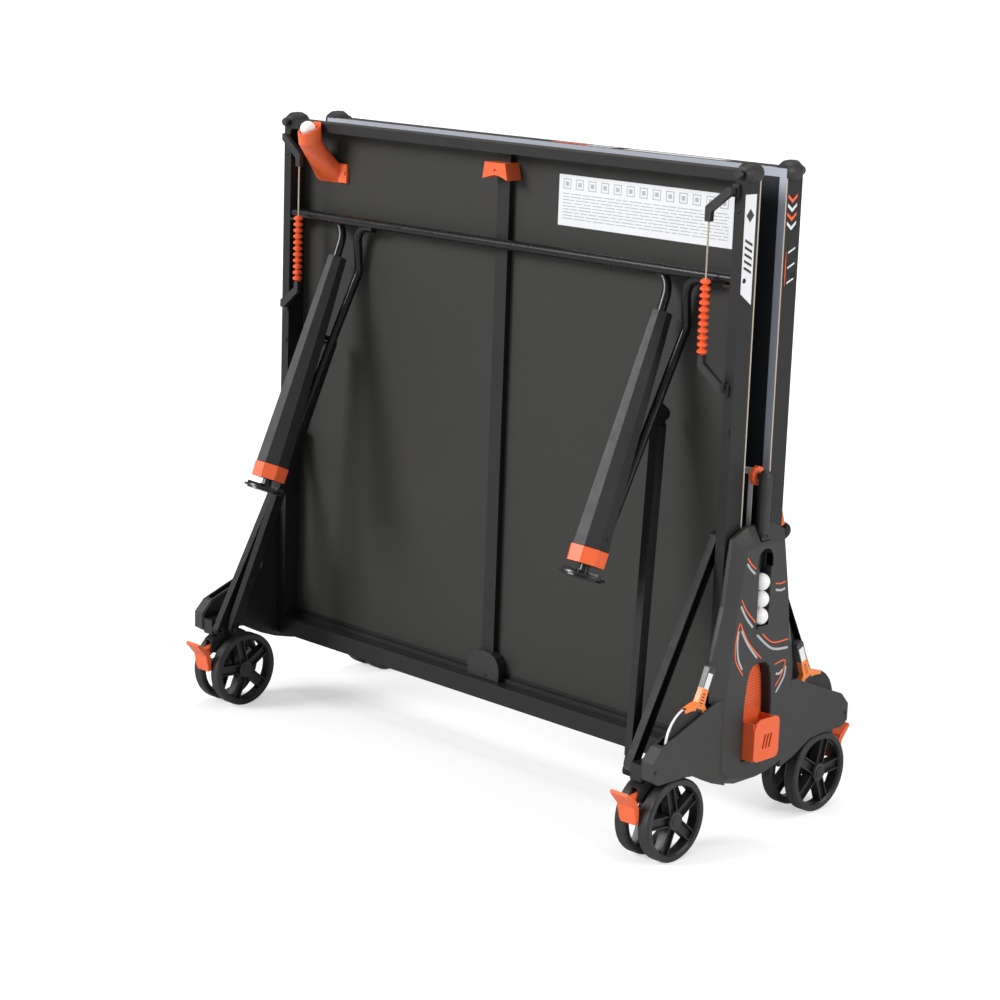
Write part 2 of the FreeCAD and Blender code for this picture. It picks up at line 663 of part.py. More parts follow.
def housing():
    """One plastic end housing: a tower with two wings, open towards the table."""
    outer = fused([tower_body(FACE_X, 0)] + wing_body(SHELL_X, WING_X, 0))
    inner_face = FACE_X - SHELL_WALL
    inner = fused([tower_body(inner_face, SHELL_WALL)] + wing_body(SHELL_X, WING_X - SHELL_WALL, SHELL_WALL))
    shell = outer.cut(inner).fuse(ball_channel())
    ball_slot = box(785, FACE_X + 1, -21.3, 21.3, BALL_LOW - 22, 650)
    ball_mouth = arch(27, 640, 684, 785, FACE_X + 1)
    notch = box(SHELL_X, FACE_X, -17, 17, 700, 740)
    recess = prism_yz(symmetric(RECESS), 785, FACE_X + 1)
    cuts = [ball_slot, ball_mouth, notch, recess]
    for sign in (1, -1):
        cuts.append(racket_slot(sign))
        cuts.append(rod((790, sign * 343, 228), (810, sign * 343, 228), 3))
    return shell.cut(cuts)


def guide_slot(sign):
    start = (sign * GUIDE[0], GUIDE[1])
    end = (sign * GUIDE_END[0], GUIDE_END[1])
    return bar_yz(start, end, SLOT_HALF, PLATE_X - 1, PLATE_X + PLATE_THICK + 1)


def side_plate():
    """The steel plate between a housing and the half-tops, with both guide slots."""
    outline = inset(symmetric(TOWER_BACK), 2)
    body = prism_yz(outline, PLATE_X, PLATE_X + PLATE_THICK)
    wings = wing_body(PLATE_X, PLATE_X + PLATE_THICK, 2)
    plate = fused([body] + wings)
    return plate.cut([guide_slot(1), guide_slot(-1)])


def corner_block(sign):
    """The block over a caster, with the two strut pins; sign is the end in Y."""
    y0, y1 = sorted((sign * 272, sign * 350))
    block = box(BLOCK_X, PLATE_X, y0, y1, 199, 238)
    bore = rod((CASTER_X, sign * SWIVEL_Y, 190), (CASTER_X, sign * SWIVEL_Y, 234), STEM_R + RUN)
    return block.cut(bore)


def strut_bosses(sign):
    """The bosses on a corner block that face the feet of the panel strut and the leg strut."""
    short = rod_x(STRUT_X + STRUT_WIDE + GAP, BLOCK_X, (-sign * STRUT_FOOT[0], STRUT_FOOT[1]), 12)
    start = LEG_STRUT_X + LEG_STRUT_LOW[0] + GAP
    long = rod_x(start, BLOCK_X, (-sign * LEG_STRUT_FOOT[0], LEG_STRUT_FOOT[1]), 7)
    return [short, long]


def side_frames():
    solids = [side_plate()]
    for sign in (1, -1):
        solids += [corner_block(sign)] + strut_bosses(sign)
    return both_sides(fused(solids))


def centre_beam():
    """The tube that ties both side plates together between the folded half-tops."""
    outer = box(-PLATE_X, PLATE_X, -15, 15, 172, 232)
    return outer.cut(box(-PLATE_X - 1, PLATE_X + 1, -12.5, 12.5, 174.5, 229.5))


def balls():
    return [Part.makeSphere(BALL_R, V(BALL_X, 0, BALL_LOW + k * 2 * (BALL_R + 0.05))) for k in range(3)]


def storage_cup():
    """The bright insert: a tapering back plate over a protruding cup."""
    back = prism_yz(symmetric(CUP_BACK), 774, 777)
    shell = box(776, CUP_DEEP, -CUP_HALF, CUP_HALF, 196, 286)
    wall = 3.5
    hollow = box(775, CUP_DEEP + 1, wall - CUP_HALF, CUP_HALF - wall, 200, 290)
    front = prism_yz(CUP_FRONT, CUP_DEEP, CUP_DEEP + 4)
    slots = [prism_yz([(-16 + 11 * k, 222), (-10 + 11 * k, 222), (-2 + 11 * k, 256), (-8 + 11 * k, 256)],
                      CUP_DEEP - 1, CUP_DEEP + 5) for k in range(3)]
    return both_sides(fused([back, shell.cut(hollow), front]).cut(slots))


POST_X = 787.0
POST_R = 15.0
POST_TOP = 847.0
KNOB_Z = 845.0


def net_post():
    """A round-headed post on a clamp that stands in the tower's notch."""
    x = POST_X
    post = rod((x, 0, 716), (x, 0, POST_TOP), POST_R)
    dome = Part.makeSphere(POST_R, V(x, 0, POST_TOP))
    clamp = box(x - 13, x + 11, -13.5, 13.5, 702, 722)
    web = box(x - 13, x + 13, -7, 7, 720, 748)
    arm = rod_x(768, x, (0, KNOB_Z), 7)
    screws = [rod_x(x + 10, x + 13, (6 * s, 712), 3) for s in (1, -1)]
    return both_sides(fused([post, dome, clamp, web, arm] + screws))


def net_knob(sign):
    """The scalloped tensioning knob on the inner side of a post."""
    x0, x1 = sorted((sign * 757, sign * 767.5))
    knob = rod_x(x0, x1, (0, KNOB_Z), 22)
    flutes = []
    count = 10
    for k in range(count):
        a = 2 * math.pi * k / count
        flutes.append(rod_x(x0 - 1, x1 + 1, (24 * math.cos(a), KNOB_Z + 24 * math.sin(a)), 4))
    return knob.cut(flutes)


def net():
    """The stretched net as a thin sheet."""
    return box(-NET_HALF, NET_HALF, -1, 1, NET_LOW, NET_LOW + NET_HEIGHT)


# ---- casters ----
def at_caster(shape, sx, sy):
    """Move a shape made at the front right caster to another corner."""
    placed = shape if sx > 0 else mirrored(shape)
    return placed if sy < 0 else placed.mirror(V(0, 0, 0), V(0, 1, 0))


def wheel(x0):
    """A wide rim, a hub and five double-ribbed spokes."""
    centre = (-AXLE_Y, WHEEL_R)
    x1 = x0 + WHEEL_W
    profile = [(x0, 82), (x0 + 6, 79), (x1 - 6, 79), (x1, 82), (x1, 93), (x1 - 4, WHEEL_R), (x0 + 4, WHEEL_R),
               (x0, 93)]
    rim = Part.Face(polygon([(x, -AXLE_Y, WHEEL_R + r) for x, r in profile]))
    rim = rim.revolve(V(0, -AXLE_Y, WHEEL_R), V(1, 0, 0), 360)
    parts = [rim, rod_x(x0 + 2, x1 - 2, centre, 22)]
    for k in range(5):
        web = box(x0 + 13, x1 - 13, -AXLE_Y - 13, -AXLE_Y + 13, WHEEL_R + 18, WHEEL_R + 81)
        ribs = [box(x0 + 5, x1 - 5, -AXLE_Y + y, -AXLE_Y + y + 3, WHEEL_R + 18, WHEEL_R + 81) for y in (-13, 10)]
        spoke = fused([web] + ribs)
        spoke.rotate(V(0, -AXLE_Y, WHEEL_R), V(1, 0, 0), 72 * k + 14)
        parts.append(spoke)
    return fused(parts).cut(rod_x(x0 - 1, x1 + 1, centre, AXLE_R + RUN))


def caster_wheels():
    outer = CASTER_X + 50.8 - WHEEL_W
    inner = CASTER_X - 50.8
    return [wheel(outer), wheel(inner)]


def caster_fork():
    """The body between the wheels, its swivel stem, the fender and the axle."""
    x0, x1 = CASTER_X - 14.5, CASTER_X + 14.5
    outline = [(-350, 152), (-350, 184), (-336, 192), (-322, 196), (-296, 196), (-262, 192), (-222, 168),
               (-204, 136), (-212, 132), (-236, 158), (-248, 120), (-246, 84), (-274, 84), (-284, 116), (-312, 140)]
    body = prism_yz(outline, x0, x1)
    stem = rod((CASTER_X, -SWIVEL_Y, 190), (CASTER_X, -SWIVEL_Y, 232), STEM_R)
    slot = box(x0 + 6, x1 - 6, -351, -309, 136, 182)
    pin_hole = rod_x(CASTER_X - 13.2, CASTER_X + 13.2, PEDAL_PIVOT, PEDAL_PIN_R + RUN)
    axle = rod_x(CASTER_X - 54, CASTER_X + 54, (-AXLE_Y, WHEEL_R), AXLE_R)
    caps = [rod_x(CASTER_X + 51, CASTER_X + 54, (-AXLE_Y, WHEEL_R), 15)]
    caps.append(rod_x(CASTER_X - 54, CASTER_X - 51, (-AXLE_Y, WHEEL_R), 15))
    return fused([body.cut([slot, pin_hole]), stem, axle] + caps)


def brake_pedal():
    """A broad bent tab with rounded lower corners, on an arm that pivots in the fork."""
    blade = [(-359, 101), (-366, 103), (-376, 146), (-404, 178), (-399, 184), (-369, 160), (-360, 142)]
    half, corner, low, high = 25, 12, 100, 185
    tab = prism_yz(blade, CASTER_X - half, CASTER_X + half)
    round_off = [(-half, high), (-half, low + corner), (-half + 3.5, low + 3.5), (-half + corner, low)]
    outline = [(CASTER_X + x, z) for x, z in round_off] + [(CASTER_X - x, z) for x, z in reversed(round_off)]
    tab = tab.common(prism_xz(outline, -410, -350))
    arm = prism_yz([(-369, 130), (-330, 153), (-318, 157), (-315, 168), (-325, 174), (-371, 156)],
                   CASTER_X - 8, CASTER_X + 8)
    pin = rod_x(CASTER_X - 13, CASTER_X + 13, PEDAL_PIVOT, PEDAL_PIN_R)
    return fused([tab, arm, pin])


# ---- rackets ----
RACKET_TIP = (156.0, 434.5)
RACKET_LEAN = math.atan2(0.4, 0.9165)


def on_racket(s, n):
    """The (y, z) of a point s down from a racket's tip and n across it."""
    y = RACKET_TIP[0] + s * math.sin(RACKET_LEAN) + n * math.cos(RACKET_LEAN)
    z = RACKET_TIP[1] - s * math.cos(RACKET_LEAN) + n * math.sin(RACKET_LEAN)
    return (y, z)


def racket_blade(sign):
    steps = 40
    points = []
    for k in range(steps):
        a = 2 * math.pi * k / steps
        points.append(on_racket(172 - 78 * math.cos(a), 73 * math.sin(a)))
    return prism_yz([(sign * y, z) for y, z in points], 782, 792)


def racket_handle(sign):
    half = [(0, 8), (4, 12), (60, 11), (86, 13), (98, 30), (114, 48), (120, 44), (108, 22)]
    grip = half + [(104, 0)] + [(s, -n) for s, n in reversed(half)]
    outline = [on_racket(s, n) for s, n in grip]
    body = prism_yz([(sign * y, z) for y, z in outline], 780, 794)
    return body.cut(racket_blade(sign))


# ---- write every node ----
def write_half_tops():
    save_half_nodes({
        "top_panel": [panel()],
        "top_frame": [top_frame()],
        "guide_pins": guide_pins() + strut_bolts(),
        "corner_caps": corner_caps(),
        "bumper": [bumper()],
        "leg_frame": [leg_frame()],
        "leg_covers": [leg_cover(1), leg_cover(-1)],
        "right_collar": [foot_collar(1)],
        "left_collar": [foot_collar(-1)],
        "right_foot": [foot(1)],
        "left_foot": [foot(-1)],
        "panel_struts": [panel_strut(1), panel_strut(-1)],
        "leg_struts": [leg_strut(1), leg_strut(-1)],
        "guide_shoes": guide_shoe(),
    })


def write_accessories():
    save("ball_holder", [ball_holder()])
    save("holder_ball", [Part.makeSphere(BALL_R, V(*HELD_BALL))])
    save("rail_hook", [hook()])
    save("counter_arms", counter_arms())
    save("right_beads", beads(1))
    save("left_beads", beads(-1))
    for name, sign in (("front", -1), ("back", 1)):
        save(name + "_racket_blade", [racket_blade(sign)])
        save(name + "_racket_handle", [racket_handle(sign)])


def write_chassis():
    right = housing()
    save("right_housing", [right])
    save("left_housing", [mirrored(right)])
    save("side_frames", side_frames())
    save("centre_beam", [centre_beam()])
    save("stored_balls", balls())
    save("storage_cups", storage_cup())
    save("net_posts", net_post())
    save("right_net_knob", [net_knob(1)])
    save("left_net_knob", [net_knob(-1)])
    save("net", [net()])


def write_casters():
    wheels = caster_wheels()
    fork = caster_fork()
    pedal = brake_pedal()
    for name, sx, sy in (("front_right", 1, -1), ("front_left", -1, -1), ("back_right", 1, 1), ("back_left", -1, 1)):
        save(name + "_wheels", [at_caster(w, sx, sy) for w in wheels])
        save(name + "_fork", [at_caster(fork, sx, sy)])
        save(name + "_pedal", [at_caster(pedal, sx, sy)])


os.makedirs("parts", exist_ok=True)
write_half_tops()
write_accessories()
write_chassis()
write_casters()
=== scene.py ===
import math
import random

import bmesh
import bpy
from mathutils import Matrix, Vector


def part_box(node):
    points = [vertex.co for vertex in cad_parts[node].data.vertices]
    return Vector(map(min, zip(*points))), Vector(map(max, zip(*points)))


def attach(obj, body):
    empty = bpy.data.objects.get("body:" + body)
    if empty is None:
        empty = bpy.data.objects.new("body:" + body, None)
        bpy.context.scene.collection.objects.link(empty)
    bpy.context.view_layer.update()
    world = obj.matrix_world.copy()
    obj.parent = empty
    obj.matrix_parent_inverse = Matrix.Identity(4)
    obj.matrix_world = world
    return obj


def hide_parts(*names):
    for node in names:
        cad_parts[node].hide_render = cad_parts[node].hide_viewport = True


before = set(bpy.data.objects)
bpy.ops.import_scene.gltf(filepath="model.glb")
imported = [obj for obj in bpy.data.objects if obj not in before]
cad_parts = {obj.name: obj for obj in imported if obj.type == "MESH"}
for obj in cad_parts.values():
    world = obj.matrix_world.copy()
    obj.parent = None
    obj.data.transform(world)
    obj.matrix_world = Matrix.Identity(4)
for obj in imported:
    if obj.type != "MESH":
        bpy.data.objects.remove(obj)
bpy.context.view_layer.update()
MM = 0.001              # pieces are built in millimetres; materials and frame boxes are in metres
X = Vector((1, 0, 0))

# Places in millimetres that several pieces share, given for the front half.
RAIL_X = 762.5                  # outer face of a side rail
TOWER_X = 803.0                 # outer face of a tower
WHEEL_Y, WHEEL_Z = 260.2, 97    # a caster's axle
LEG_X = 547                     # middle of a leg
FRAME_BACK = -101               # outward face of the top's frame
TIP_Y, TIP_Z = 156, 434.5       # upper end of a racket's handle
RACKET_LEAN = math.atan2(0.4, 0.9165)


# ---- materials: every one is procedural, in the object's own coordinates ----
class Nodes:
    """A short way to write a node tree."""

    def __init__(self, name):
        self.mat = bpy.data.materials.new(name)
        self.mat.use_nodes = True
        self.tree = self.mat.node_tree
        self.shader = self.tree.nodes["Principled BSDF"]
        self.place = self.add("ShaderNodeTexCoord").outputs["Object"]

    def add(self, kind, **settings):
        node = self.tree.nodes.new(kind)
        for key, value in settings.items():
            setattr(node, key, value)
        return node

    def link(self, out, into):
        self.tree.links.new(out, into)

    def put(self, socket, value):
        if isinstance(value, bpy.types.NodeSocket):
            self.link(value, socket)
        else:
            socket.default_value = value

    def noise(self, scale, detail=3.0, rough=0.55, stretch=None):
        node = self.add("ShaderNodeTexNoise")
        node.inputs["Scale"].default_value = scale
        node.inputs["Detail"].default_value = detail
        node.inputs["Roughness"].default_value = rough
        place = self.place
        if stretch:
            mapping = self.add("ShaderNodeMapping")
            mapping.inputs["Scale"].default_value = stretch
            self.link(place, mapping.inputs["Vector"])
            place = mapping.outputs["Vector"]
        self.link(place, node.inputs["Vector"])
        return node.outputs["Fac"]

    def math(self, operation, a, b=0.0):
        node = self.add("ShaderNodeMath", operation=operation)
        self.put(node.inputs[0], a)
        self.put(node.inputs[1], b)
        return node.outputs[0]

    def ramp(self, value, low, high, to_low, to_high):
        node = self.add("ShaderNodeMapRange")
        self.put(node.inputs["Value"], value)
        for key, v in (("From Min", low), ("From Max", high), ("To Min", to_low), ("To Max", to_high)):
            node.inputs[key].default_value = v
        return node.outputs["Result"]

    def mix(self, factor, a, b):
        node = self.add("ShaderNodeMix", data_type="RGBA")
        self.put(node.inputs[0], factor)
        for socket, value in ((node.inputs[6], a), (node.inputs[7], b)):
            self.put(socket, value if isinstance(value, bpy.types.NodeSocket) else (*value, 1.0))
        return node.outputs[2]

    def axes(self):
        node = self.add("ShaderNodeSeparateXYZ")
        self.link(self.place, node.inputs[0])
        return node.outputs["X"], node.outputs["Y"], node.outputs["Z"]

    def bump(self, height, strength, distance, under=None):
        node = self.add("ShaderNodeBump")
        node.inputs["Strength"].default_value = strength
        node.inputs["Distance"].default_value = distance
        self.link(height, node.inputs["Height"])
        if under is not None:
            self.link(under, node.inputs["Normal"])
        return node.outputs["Normal"]


def shade(colour, factor):
    return tuple(min(1.0, c * factor) for c in colour)


GRAIN_RELIEF = 0.0004   # metres


def surface(name, colour, rough, metallic=0.0, grain=900.0, depth=0.12, spread=0.10, coat=0.0, drift=7.0,
            rough_spread=0.06, stretch=None, pattern=None, specular=0.5):
    """Paint, moulded plastic, rubber or metal: broad colour drift, uneven gloss and a fine grain in relief.

    pattern(nodes, colour) may return another colour for parts of the surface.
    """
    n = Nodes(name)
    broad = n.noise(drift, 4.0)
    tint = n.mix(n.ramp(broad, 0.3, 0.7, 0.0, 1.0), shade(colour, 1 - spread), shade(colour, 1 + spread))
    if pattern:
        tint = pattern(n, tint)
    n.link(tint, n.shader.inputs["Base Color"])
    wear = n.noise(drift * 6, 5.0, 0.65)
    n.link(n.ramp(wear, 0.25, 0.75, rough - rough_spread, rough + rough_spread), n.shader.inputs["Roughness"])
    n.shader.inputs["Metallic"].default_value = metallic
    n.shader.inputs["Specular IOR Level"].default_value = specular
    n.shader.inputs["Coat Weight"].default_value = coat
    n.shader.inputs["Coat Roughness"].default_value = 0.12
    fine = n.noise(grain, 2.0, 0.6, stretch)
    n.link(n.bump(fine, depth, GRAIN_RELIEF), n.shader.inputs["Normal"])
    return n.mat


def band(n, value, low, high):
    """1 where low < value < high."""
    return n.math("MULTIPLY", n.math("GREATER_THAN", value, low), n.math("LESS_THAN", value, high))


HALF_WIDTH = 0.7625
LINE = 0.020
CENTRE_LINE = 0.0015    # half its width
INNER_SHEET = 0.0012
OUTER_SHEET = 0.0028
EDGE_TAN = (0.50, 0.37, 0.24)
PLAY_BLACK = (0.016, 0.018, 0.022)
LINE_WHITE = (0.42, 0.45, 0.52)


def panel_material(name, node):
    """Dark matte sheet outside, a tan core at the edges, and the playing face with its lines inside."""
    low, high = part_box(node)
    inner = min(abs(low.y), abs(high.y))
    outer = max(abs(low.y), abs(high.y))

    def pattern(n, tint):
        x, y, z = n.axes()
        across = n.math("ABSOLUTE", x)
        depth = n.math("ABSOLUTE", y)
        core = band(n, depth, inner + INNER_SHEET, outer - OUTER_SHEET)
        play = n.math("LESS_THAN", depth, inner + INNER_SHEET)
        side = n.math("GREATER_THAN", across, HALF_WIDTH - LINE)
        end = n.math("GREATER_THAN", z, high.z - LINE)
        centre = n.math("LESS_THAN", across, CENTRE_LINE)
        lines = n.math("MINIMUM", n.math("ADD", n.math("ADD", side, end), centre), 1.0)
        face = n.mix(lines, PLAY_BLACK, LINE_WHITE)
        return n.mix(play, n.mix(core, tint, EDGE_TAN), face)

    return surface(name, (0.0245, 0.0242, 0.0222), 0.52, specular=0.35, grain=1100, depth=0.10, spread=0.05,
                   drift=2.5, pattern=pattern)


# Along a racket's handle, in metres from its upper end.
DARK_END = 0.016
YOKE = 0.052
VENTS = (0.060, 0.092)
WEDGE = (0.099, 0.109)


def racket_handle_material(name, tip, lean_y):
    """A white grip with a dark end and an orange yoke with dark vents, laid out along the handle."""
    sin, cos = math.sin(RACKET_LEAN), math.cos(RACKET_LEAN)

    def pattern(n, tint):
        x, y, z = n.axes()
        dy = n.math("SUBTRACT", y, tip[0])
        dz = n.math("SUBTRACT", z, tip[1])
        along = n.math("SUBTRACT", n.math("MULTIPLY", dy, lean_y * sin), n.math("MULTIPLY", dz, cos))
        across = n.math("ADD", n.math("MULTIPLY", dy, lean_y * cos), n.math("MULTIPLY", dz, sin))
        off = n.math("ABSOLUTE", across)
        grip = n.mix(n.math("GREATER_THAN", along, DARK_END), (0.03, 0.03, 0.032), (0.78, 0.78, 0.77))
        grip = n.mix(band(n, off, 0.0085, 0.02), grip, (0.05, 0.05, 0.052))
        slots = n.math("GREATER_THAN", n.math("SINE", n.math("MULTIPLY", along, 900.0)), 0.35)
        vents = n.math("MULTIPLY", n.math("MULTIPLY", slots, band(n, along, *VENTS)),
                       n.math("LESS_THAN", off, 0.005))
        wedge = n.math("MULTIPLY", band(n, along, *WEDGE), n.math("LESS_THAN", off, 0.012))
        yoke = n.mix(n.math("MAXIMUM", vents, wedge), (0.86, 0.22, 0.04), (0.02, 0.02, 0.02))
        return n.mix(n.math("GREATER_THAN", along, YOKE), grip, yoke)

    return surface(name, (0.8, 0.8, 0.8), 0.32, grain=500, depth=0.05, pattern=pattern)


PIT_PITCH = 0.0078
PLATE_X = 0.7785        # the plates lie inside this X and above PLATE_Z; the cups have no pits
PLATE_Z = 0.30


def perforated(name, colour, dark):
    """A sheet of close round pits on a slanted grid, in the Y-Z plane; the pits are also painted darker, as painted
    shade inside them.
    """
    n = Nodes(name)
    x, y, z = n.axes()
    u = n.math("DIVIDE", n.math("ADD", y, n.math("MULTIPLY", z, 0.5)), PIT_PITCH)
    v = n.math("DIVIDE", z, PIT_PITCH * 0.86)
    du = n.math("SUBTRACT", n.math("FRACT", u), 0.5)
    dv = n.math("SUBTRACT", n.math("FRACT", v), 0.5)
    r = n.math("SQRT", n.math("ADD", n.math("MULTIPLY", du, du), n.math("MULTIPLY", dv, dv)))
    back = n.math("MULTIPLY", n.math("LESS_THAN", n.math("ABSOLUTE", x), PLATE_X),
                  n.math("GREATER_THAN", z, PLATE_Z))
    pit = n.math("MULTIPLY", n.ramp(r, 0.22, 0.32, 1.0, 0.0), back)
    # painted shade: inside the plates each pit is mixed towards the dark colour, standing in for the shade inside it
    n.link(n.mix(n.math("MULTIPLY", pit, 0.62), colour, dark), n.shader.inputs["Base Color"])
    n.link(n.ramp(n.noise(40), 0.3, 0.7, 0.36, 0.46), n.shader.inputs["Roughness"])
    grain = n.bump(n.noise(900, 2.0), 0.08, GRAIN_RELIEF)
    n.link(n.bump(n.math("SUBTRACT", 1.0, pit), 0.8, 0.0012, grain), n.shader.inputs["Normal"])
    return n.mat


MESH_PITCH = 0.0125
CORD_SHARE = 0.085      # half a cord's width, as a share of the pitch


def net_material():
    """A square mesh of thin black cords, clear between them."""
    n = Nodes("net_mesh")
    x, y, z = n.axes()
    cords = []
    for axis in (x, z):
        step = n.math("ABSOLUTE", n.math("SUBTRACT", n.math("FRACT", n.math("DIVIDE", axis, MESH_PITCH)), 0.5))
        cords.append(n.math("LESS_THAN", step, CORD_SHARE))
    cord = n.math("MAXIMUM", cords[0], cords[1])
    n.link(cord, n.shader.inputs["Alpha"])
    n.link(n.mix(n.noise(300), (0.012, 0.012, 0.013), (0.03, 0.03, 0.032)), n.shader.inputs["Base Color"])
    n.shader.inputs["Roughness"].default_value = 0.8
    n.link(n.bump(n.noise(2500, 2.0), 0.5, 0.0005), n.shader.inputs["Normal"])
    return n.mat


FLOOR_GLOW = 0.50       # shown to the camera only, on top of the floor's lit colour; it lights nothing


def floor_material():
    """A pale matte floor that shows the camera a little more light than it throws on the table."""
    n = Nodes("floor_pale")
    n.link(n.mix(n.noise(3.0), (0.60, 0.60, 0.60), (0.62, 0.62, 0.62)), n.shader.inputs["Base Color"])
    n.shader.inputs["Roughness"].default_value = 0.55
    n.shader.inputs["Specular IOR Level"].default_value = 0.0
    n.shader.inputs["Emission Color"].default_value = (1.0, 1.0, 1.0, 1.0)
    seen = n.tree.nodes.new("ShaderNodeLightPath").outputs["Is Camera Ray"]
    n.link(n.math("MULTIPLY", seen, FLOOR_GLOW), n.shader.inputs["Emission Strength"])
    return n.mat


ORANGE = (0.80, 0.125, 0.034)
M = {
    "rail": surface("rail_paint", (0.0085, 0.0085, 0.0081), 0.46, grain=1500, depth=0.16, spread=0.06, specular=0.4),
    "tube": surface("tube_gloss", (0.0075, 0.0075, 0.008), 0.26, grain=260, depth=0.012, spread=0.2, coat=0.10,
                    specular=0.32),
    "strut": surface("strut_gloss", (0.0065, 0.0065, 0.0068), 0.50, grain=300, depth=0.012, spread=0.2,
                     specular=0.22),
    "cover": surface("leg_cover_satin", (0.0170, 0.0170, 0.0175), 0.52, grain=700, depth=0.10, spread=0.12,
                     stretch=(1.0, 1.0, 0.12), specular=0.42),
    "cap": surface("soft_grey_moulding", (0.0150, 0.0150, 0.0145), 0.50, grain=1300, depth=0.22),
    "shell": surface("housing_grain", (0.0290, 0.0290, 0.0282), 0.50, grain=1700, depth=0.30, spread=0.05,
                     drift=4.0),
    "plate": surface("side_plate_paint", (0.0100, 0.0100, 0.0100), 0.40, grain=1500, depth=0.14),
    "orange": surface("orange_moulding", ORANGE, 0.36, grain=1300, depth=0.10, spread=0.04),
    "bead": surface("bead_orange", (0.86, 0.105, 0.025), 0.26, grain=700, depth=0.04, spread=0.05, coat=0.3),
    "ball": surface("ball_white", (0.86, 0.86, 0.84), 0.34, grain=1800, depth=0.05, spread=0.02),
    "black": surface("foot_black", (0.012, 0.012, 0.0125), 0.30, grain=900, depth=0.10, spread=0.15),
    "fork": surface("fork_black", (0.016, 0.016, 0.017), 0.40, grain=1500, depth=0.20),
    "wheel": surface("wheel_black", (0.018, 0.018, 0.0185), 0.36, grain=1200, depth=0.12, spread=0.15),
    "tread": surface("tread_rubber", (0.014, 0.014, 0.0145), 0.55, grain=800, depth=0.30, spread=0.2),
    "hub": surface("hub_grey", (0.060, 0.062, 0.066), 0.38, grain=1500, depth=0.15),
    "rubber": surface("blade_rubber", (0.014, 0.014, 0.015), 0.60, grain=1400, depth=0.45, spread=0.1),
    "rim": surface("blade_edge_white", (0.72, 0.72, 0.71), 0.40, grain=900, depth=0.08),
    "wire": surface("counter_wire", (0.60, 0.52, 0.42), 0.28, metallic=0.9, grain=600, depth=0.05, spread=0.05),
    "dark_bolt": surface("dark_bolt", (0.03, 0.03, 0.032), 0.34, metallic=0.8, grain=800, depth=0.10),
    "label": surface("label_white", (0.74, 0.75, 0.77), 0.42, grain=600, depth=0.03, spread=0.02),
    "ink": surface("label_ink", (0.40, 0.41, 0.42), 0.48, grain=600, depth=0.03, spread=0.05),
    "dark_ink": surface("strip_ink", (0.03, 0.03, 0.032), 0.48, grain=600, depth=0.03, spread=0.05),
    "stripe": surface("stripe_orange", (0.90, 0.12, 0.025), 0.40, grain=900, depth=0.05, spread=0.03),
    "silver": surface("stripe_silver", (0.42, 0.43, 0.44), 0.38, grain=900, depth=0.05, spread=0.04),
    # painted shade: the near-black lining of the recesses stands in for the shade inside them
    "recess_shade": surface("recess_painted_shade", (0.010, 0.010, 0.0105), 0.70, grain=900, depth=0.15),
    "tape": surface("net_tape", (0.70, 0.70, 0.69), 0.75, grain=1500, depth=0.45, spread=0.03),
    # the second, dark colour is painted shade for the pits
    "perforated": perforated("orange_perforated", ORANGE, (0.30, 0.035, 0.010)),
    "net": net_material(),
    "floor": floor_material(),
}


# ---- solids ----
CREASE = math.radians(32)       # sharper edges than this stay crisp


